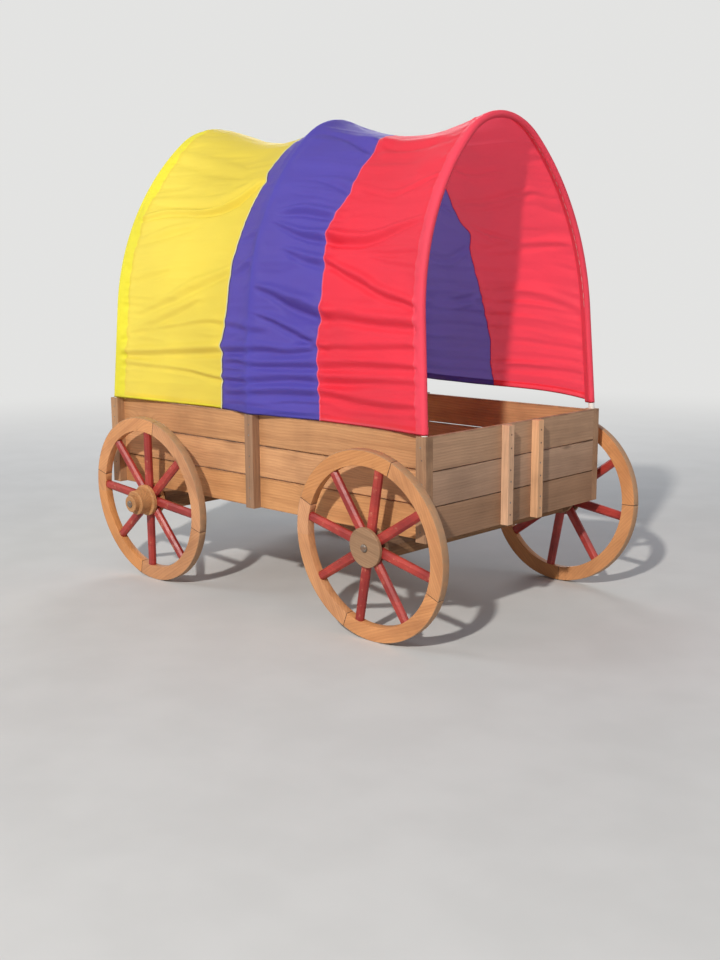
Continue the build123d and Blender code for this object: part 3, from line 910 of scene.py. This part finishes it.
def plank_material(name, axes, tones, pitch, start, roughness=0.55, low_shade=0.0):
    """Wood for straight boards. The axes run along the grain, across it and into the board.
    Boards are told apart every pitch across, from a start. The last argument is the share of
    painted shade at the lowest board: a darker tone that fades out upwards."""
    material, graph = new_material(name)
    place = graph.place()
    along = dict(zip("xyz", graph.split(place)))
    long, wide, deep = [along[axis] for axis in axes]
    share = graph.math("DIVIDE", graph.less(wide, start), pitch)
    side = graph.times(graph.math("SIGN", deep), 31.0)
    board = graph.plus(graph.math("FLOOR", share), side)
    within = graph.math("ABSOLUTE", graph.less(graph.math("FRACT", share), 0.5))
    patch = graph.noise(place, 7.0, 4.0, 0.6)
    edge = graph.times(graph.ramp(within, 0.42, 0.485, 0.0, 0.55), graph.ramp(patch, 0.35, 0.65))
    # The darker tone: in patches near each board's edges, and, by the last argument's share,
    # towards the bottom as painted shade
    wear_and_shade = graph.math("MAXIMUM", edge, graph.ramp(along["z"], 0.46, 0.84, low_shade, 0.0))
    grain = graph.join(long, wide, deep)
    wood_shader(graph, grain, board, tones, roughness, wear_and_shade, dark_edges_and_shade)
    return material


def dress(node, material):
    for slot in nodes[node].material_slots:
        slot.material = material


def dress_wood(node, material, edge=0.0016):
    """Dresses a wooden piece and breaks its sharp edges, as sandpaper does."""
    dress(node, material)
    weld = nodes[node].modifiers.new("weld", "WELD")
    weld.merge_threshold = 0.00002
    bevel = nodes[node].modifiers.new("bevel", "BEVEL")
    bevel.width = edge
    bevel.segments = 2
    bevel.limit_method = "ANGLE"
    bevel.angle_limit = radians(40)
    bevel.harden_normals = True


def dress_box():
    planks = {"pitch": plank_pitch, "start": lowest_plank}
    side_planks = plank_material("side_planks", "xzy", plank_tones, **planks)
    # The end boards get painted shade: a darker tone towards the bottom
    end_planks = plank_material("end_planks", "yzx", end_tones, **planks, low_shade=0.52)
    floor = plank_material("floor_planks", "xyz", plank_tones, pitch=0.19, start=-0.57)
    joists = plank_material("joists", "yxz", beam_tones, pitch=0.30, start=-1.2, roughness=0.7)
    posts = plank_material("posts", "zxy", post_tones, pitch=0.40, start=-1.4)
    # The middle posts take the darker copy of the posts' wood: painted shade
    middle_posts = plank_material("middle_posts", "zxy", shaded_post_tones, pitch=0.40, start=-1.4)
    end_battens = plank_material("end_battens", "zyx", batten_tones, pitch=0.15, start=-0.6)
    beams = plank_material("beams", "yzx", beam_tones, pitch=0.40, start=0.0, roughness=0.7)
    for side in sides:
        dress_wood("side_boards_" + side, side_planks)
        for hoop in hoops:
            wood = middle_posts if hoop == "middle" else posts
            dress_wood("post_" + hoop + "_" + side, wood)
    for end in axle_x:
        dress_wood("end_boards_" + end, end_planks)
        dress_wood("end_battens_" + end, end_battens)
        dress_wood("axle_beam_" + end, beams, edge=0.0025)
    dress_wood("floor_joists", joists)
    dress_wood("floor_boards", floor)


# Screws


def screw_places():
    """Where the boards are screwed to their posts and battens: (place, axis outward)."""
    places = []
    for level in board_levels:
        for up in (-screw_spread, screw_spread):
            for side in (-1, 1):
                for x in post_stations:
                    places.append(((x, side * post_face, level + up), (0, side, 0)))
            for end, face in (("rear", -1), ("front", 1)):
                for y in batten_stations:
                    places.append(((end_faces[end], y, level + up), (face, 0, 0)))
    return places


def add_screws(steel):
    luck = np.random.default_rng(3)
    up = np.array([0.0, 0.0, 1.0])
    angles = np.linspace(0, 2 * pi, screw_sides, endpoint=False)[:, None]
    heads = []
    for place, outward in screw_places():
        outward = np.array(outward, float)
        across = np.array([abs(outward[1]), abs(outward[0]), 0.0])
        shift = luck.uniform(-screw_shift, screw_shift, 2)
        centre = np.array(place) + across * shift[0] + up * shift[1]
        around = np.cos(angles) * across + np.sin(angles) * up
        for reach, height in screw_rings:
            heads.append(centre + reach * around + outward * height)
    faces = grid_faces(len(screw_rings), screw_sides, closed=True)
    starts = range(0, len(heads) * screw_sides, len(screw_rings) * screw_sides)
    piece = mesh_piece("screws", np.array(heads),
                       np.concatenate([faces + start for start in starts]))
    piece.data.materials.append(steel)
    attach(piece, "root")


# Wheels


def wheel_coordinates(graph, end, side):
    """Distance from the wheel's axle, distance outward along it, and turn about it."""
    sign = -1 if side == "right" else 1
    local = graph.node("ShaderNodeMapping",
                       {"Vector": graph.place(), "Location": (axle_x[end], sign * hub_y, hub_z),
                        "Rotation": (-sign * radians(camber), 0, 0)}, vector_type="TEXTURE")
    x, y, z = graph.split(local.outputs[0])
    outward = graph.times(y, float(sign))
    radius = graph.math("SQRT", graph.plus(graph.times(x, x), graph.times(z, z)))
    angle = graph.math("ARCTAN2", graph.times(z, float(-sign)), x)
    turned = graph.less(angle, radians(wheel_turns[end + "_" + side]))
    return radius, outward, turned


def rim_material(end, side):
    """Varnished felloes: grain along each, a tread worn pale and dark lines at the joints."""
    material, graph = new_material("rim_" + end + "_" + side)
    radius, outward, turned = wheel_coordinates(graph, end, side)
    first_joint = radians(felloe_joint)
    turns = graph.math("DIVIDE", graph.plus(turned, first_joint), pi / 2)
    quarter = graph.math("FLOOR", turns)
    middle = graph.math("MULTIPLY_ADD", quarter, pi / 2, pi / 4 - first_joint)
    away = graph.less(turned, middle)
    long = graph.times(radius, graph.math("SINE", away))
    wide = graph.times(radius, graph.math("COSINE", away))
    grain = graph.join(long, wide, outward)
    board = graph.plus(quarter, 5.0 if end == "rear" else 11.0)
    on_tread = graph.ramp(radius, *tread)
    patch = graph.noise(grain, 26.0, 4.0, 0.6)
    within = graph.math("ABSOLUTE", graph.less(graph.math("FRACT", turns), 0.5))
    to_joint = graph.times(graph.less(0.5, within), radius)
    joint = graph.ramp(to_joint, 0.0006, 0.0012, 1.0, 0.0)
    worn = graph.mix(joint, rgb(160, 128, 98), rgb(60, 36, 22))
    wear_and_shade = graph.times(on_tread, graph.ramp(patch, 0.2, 0.6, 0.35, 0.8))
    wear_and_shade = graph.math("MAXIMUM", wear_and_shade, joint)
    wood_shader(graph, grain, board, rim_tones, 0.36, wear_and_shade, worn)
    return material


def hub_material(end, side):
    """Turned wood, with the tool's fine grooves."""
    material, graph = new_material("hub_" + end + "_" + side)
    radius, outward, turned = wheel_coordinates(graph, end, side)
    long = graph.times(radius, graph.math("COSINE", turned))
    wide = graph.times(radius, graph.math("SINE", turned))
    grain = graph.join(long, wide, outward)
    groove = graph.math("SINE", graph.times(radius, 2 * pi / groove_pitch))
    wear_and_shade = graph.ramp(groove, 0.2, 1.0, 0.0, 0.22)
    wood_shader(graph, grain, 3.0, hub_tones[end], 0.5, wear_and_shade, rgb(96, 64, 44))
    return material


def spoke_material(end, side):
    """Red paint in two tones, streaked along the spoke, worn on its outer face and chipped."""
    material, graph = new_material("spokes_" + end + "_" + side)
    radius, outward, turned = wheel_coordinates(graph, end, side)
    place = graph.place()
    patch = graph.noise(place, 38.0, 4.0, 0.65)
    cloud = graph.noise(place, 7.0)
    tone = graph.mix(graph.ramp(cloud, 0.35, 0.65), rgb(176, 60, 50), rgb(142, 42, 38))
    across = graph.times(radius, graph.math("SINE", turned))
    brushed = graph.join(graph.times(across, 180.0), graph.times(radius, 14.0), 0.0)
    streak = graph.noise(brushed, 1.0, 3.0)
    tone = graph.mix(graph.ramp(streak, 0.45, 0.75, 0.0, 0.35), tone, rgb(104, 30, 30))
    worn = graph.times(graph.ramp(outward, 0.0125, 0.0150), graph.ramp(patch, 0.56, 0.70))
    tone = graph.mix(graph.times(worn, 0.45), tone, rgb(214, 150, 116))
    chips = graph.ramp(graph.noise(place, 95.0, 3.0, 0.6), 0.70, 0.76, 0.0, 0.6)
    tone = graph.mix(chips, tone, rgb(170, 112, 84))
    normal = graph.bump(graph.plus(graph.noise(place, 120.0, 3.0), streak), 0.25, 0.0008)
    rough = graph.ramp(patch, 0.3, 0.7, 0.30, 0.50)
    graph.show(graph.surface(tone, rough, normal, specular=0.45))
    return material


def dress_wheels():
    for end in axle_x:
        for side in sides:
            name = "wheel_" + end + "_" + side
            dress_wood(name + "_felloes", rim_material(end, side), edge=0.0012)
            dress_wood(name + "_spokes", spoke_material(end, side), edge=0.0012)
            hub = hub_material(end, side)
            for piece in ("_hub", "_hub_plate", "_hub_nose"):
                if name + piece in nodes:
                    dress(name + piece, hub)


# Steel and plastic pipe


def steel_material():
    material, graph = new_material("dull_steel")
    patch = graph.noise(graph.place(), 60.0, 4.0, 0.6)
    rusty = graph.ramp(patch, 0.40, 0.62)
    tone = graph.mix(rusty, rgb(146, 140, 132), rgb(112, 82, 60))
    rough = graph.ramp(patch, 0.3, 0.7, 0.45, 0.75)
    normal = graph.bump(patch, 0.2, 0.0005)
    graph.show(graph.surface(tone, rough, normal, metallic=graph.less(1.0, rusty)))
    return material


def pipe_material():
    material, graph = new_material("white_pipe")
    place = graph.place()
    scuff = graph.noise(graph.vector("MULTIPLY", place, (90.0, 30.0, 30.0)), 1.0, 5.0, 0.7)
    cloud = graph.noise(place, 5.0)
    tone = graph.mix(graph.ramp(cloud, 0.3, 0.7), rgb(236, 235, 228), rgb(224, 222, 212))
    tone = graph.mix(graph.ramp(scuff, 0.60, 0.72, 0.0, 0.4), tone, rgb(168, 162, 152))
    rough = graph.ramp(scuff, 0.3, 0.7, 0.32, 0.5)
    graph.show(graph.surface(tone, rough, graph.bump(scuff, 0.12, 0.0004)))
    return material


def dress_metal_and_pipe(steel):
    pipe = pipe_material()
    for end in axle_x:
        for side in sides:
            dress("axle_" + end + "_" + side, steel)
    for hoop in hoops:
        dress("hoop_" + hoop, pipe)


steel = steel_material()

add_camera()
add_stage()
dress_box()
dress_wheels()
dress_metal_and_pipe(steel)
add_screws(steel)
add_cover()
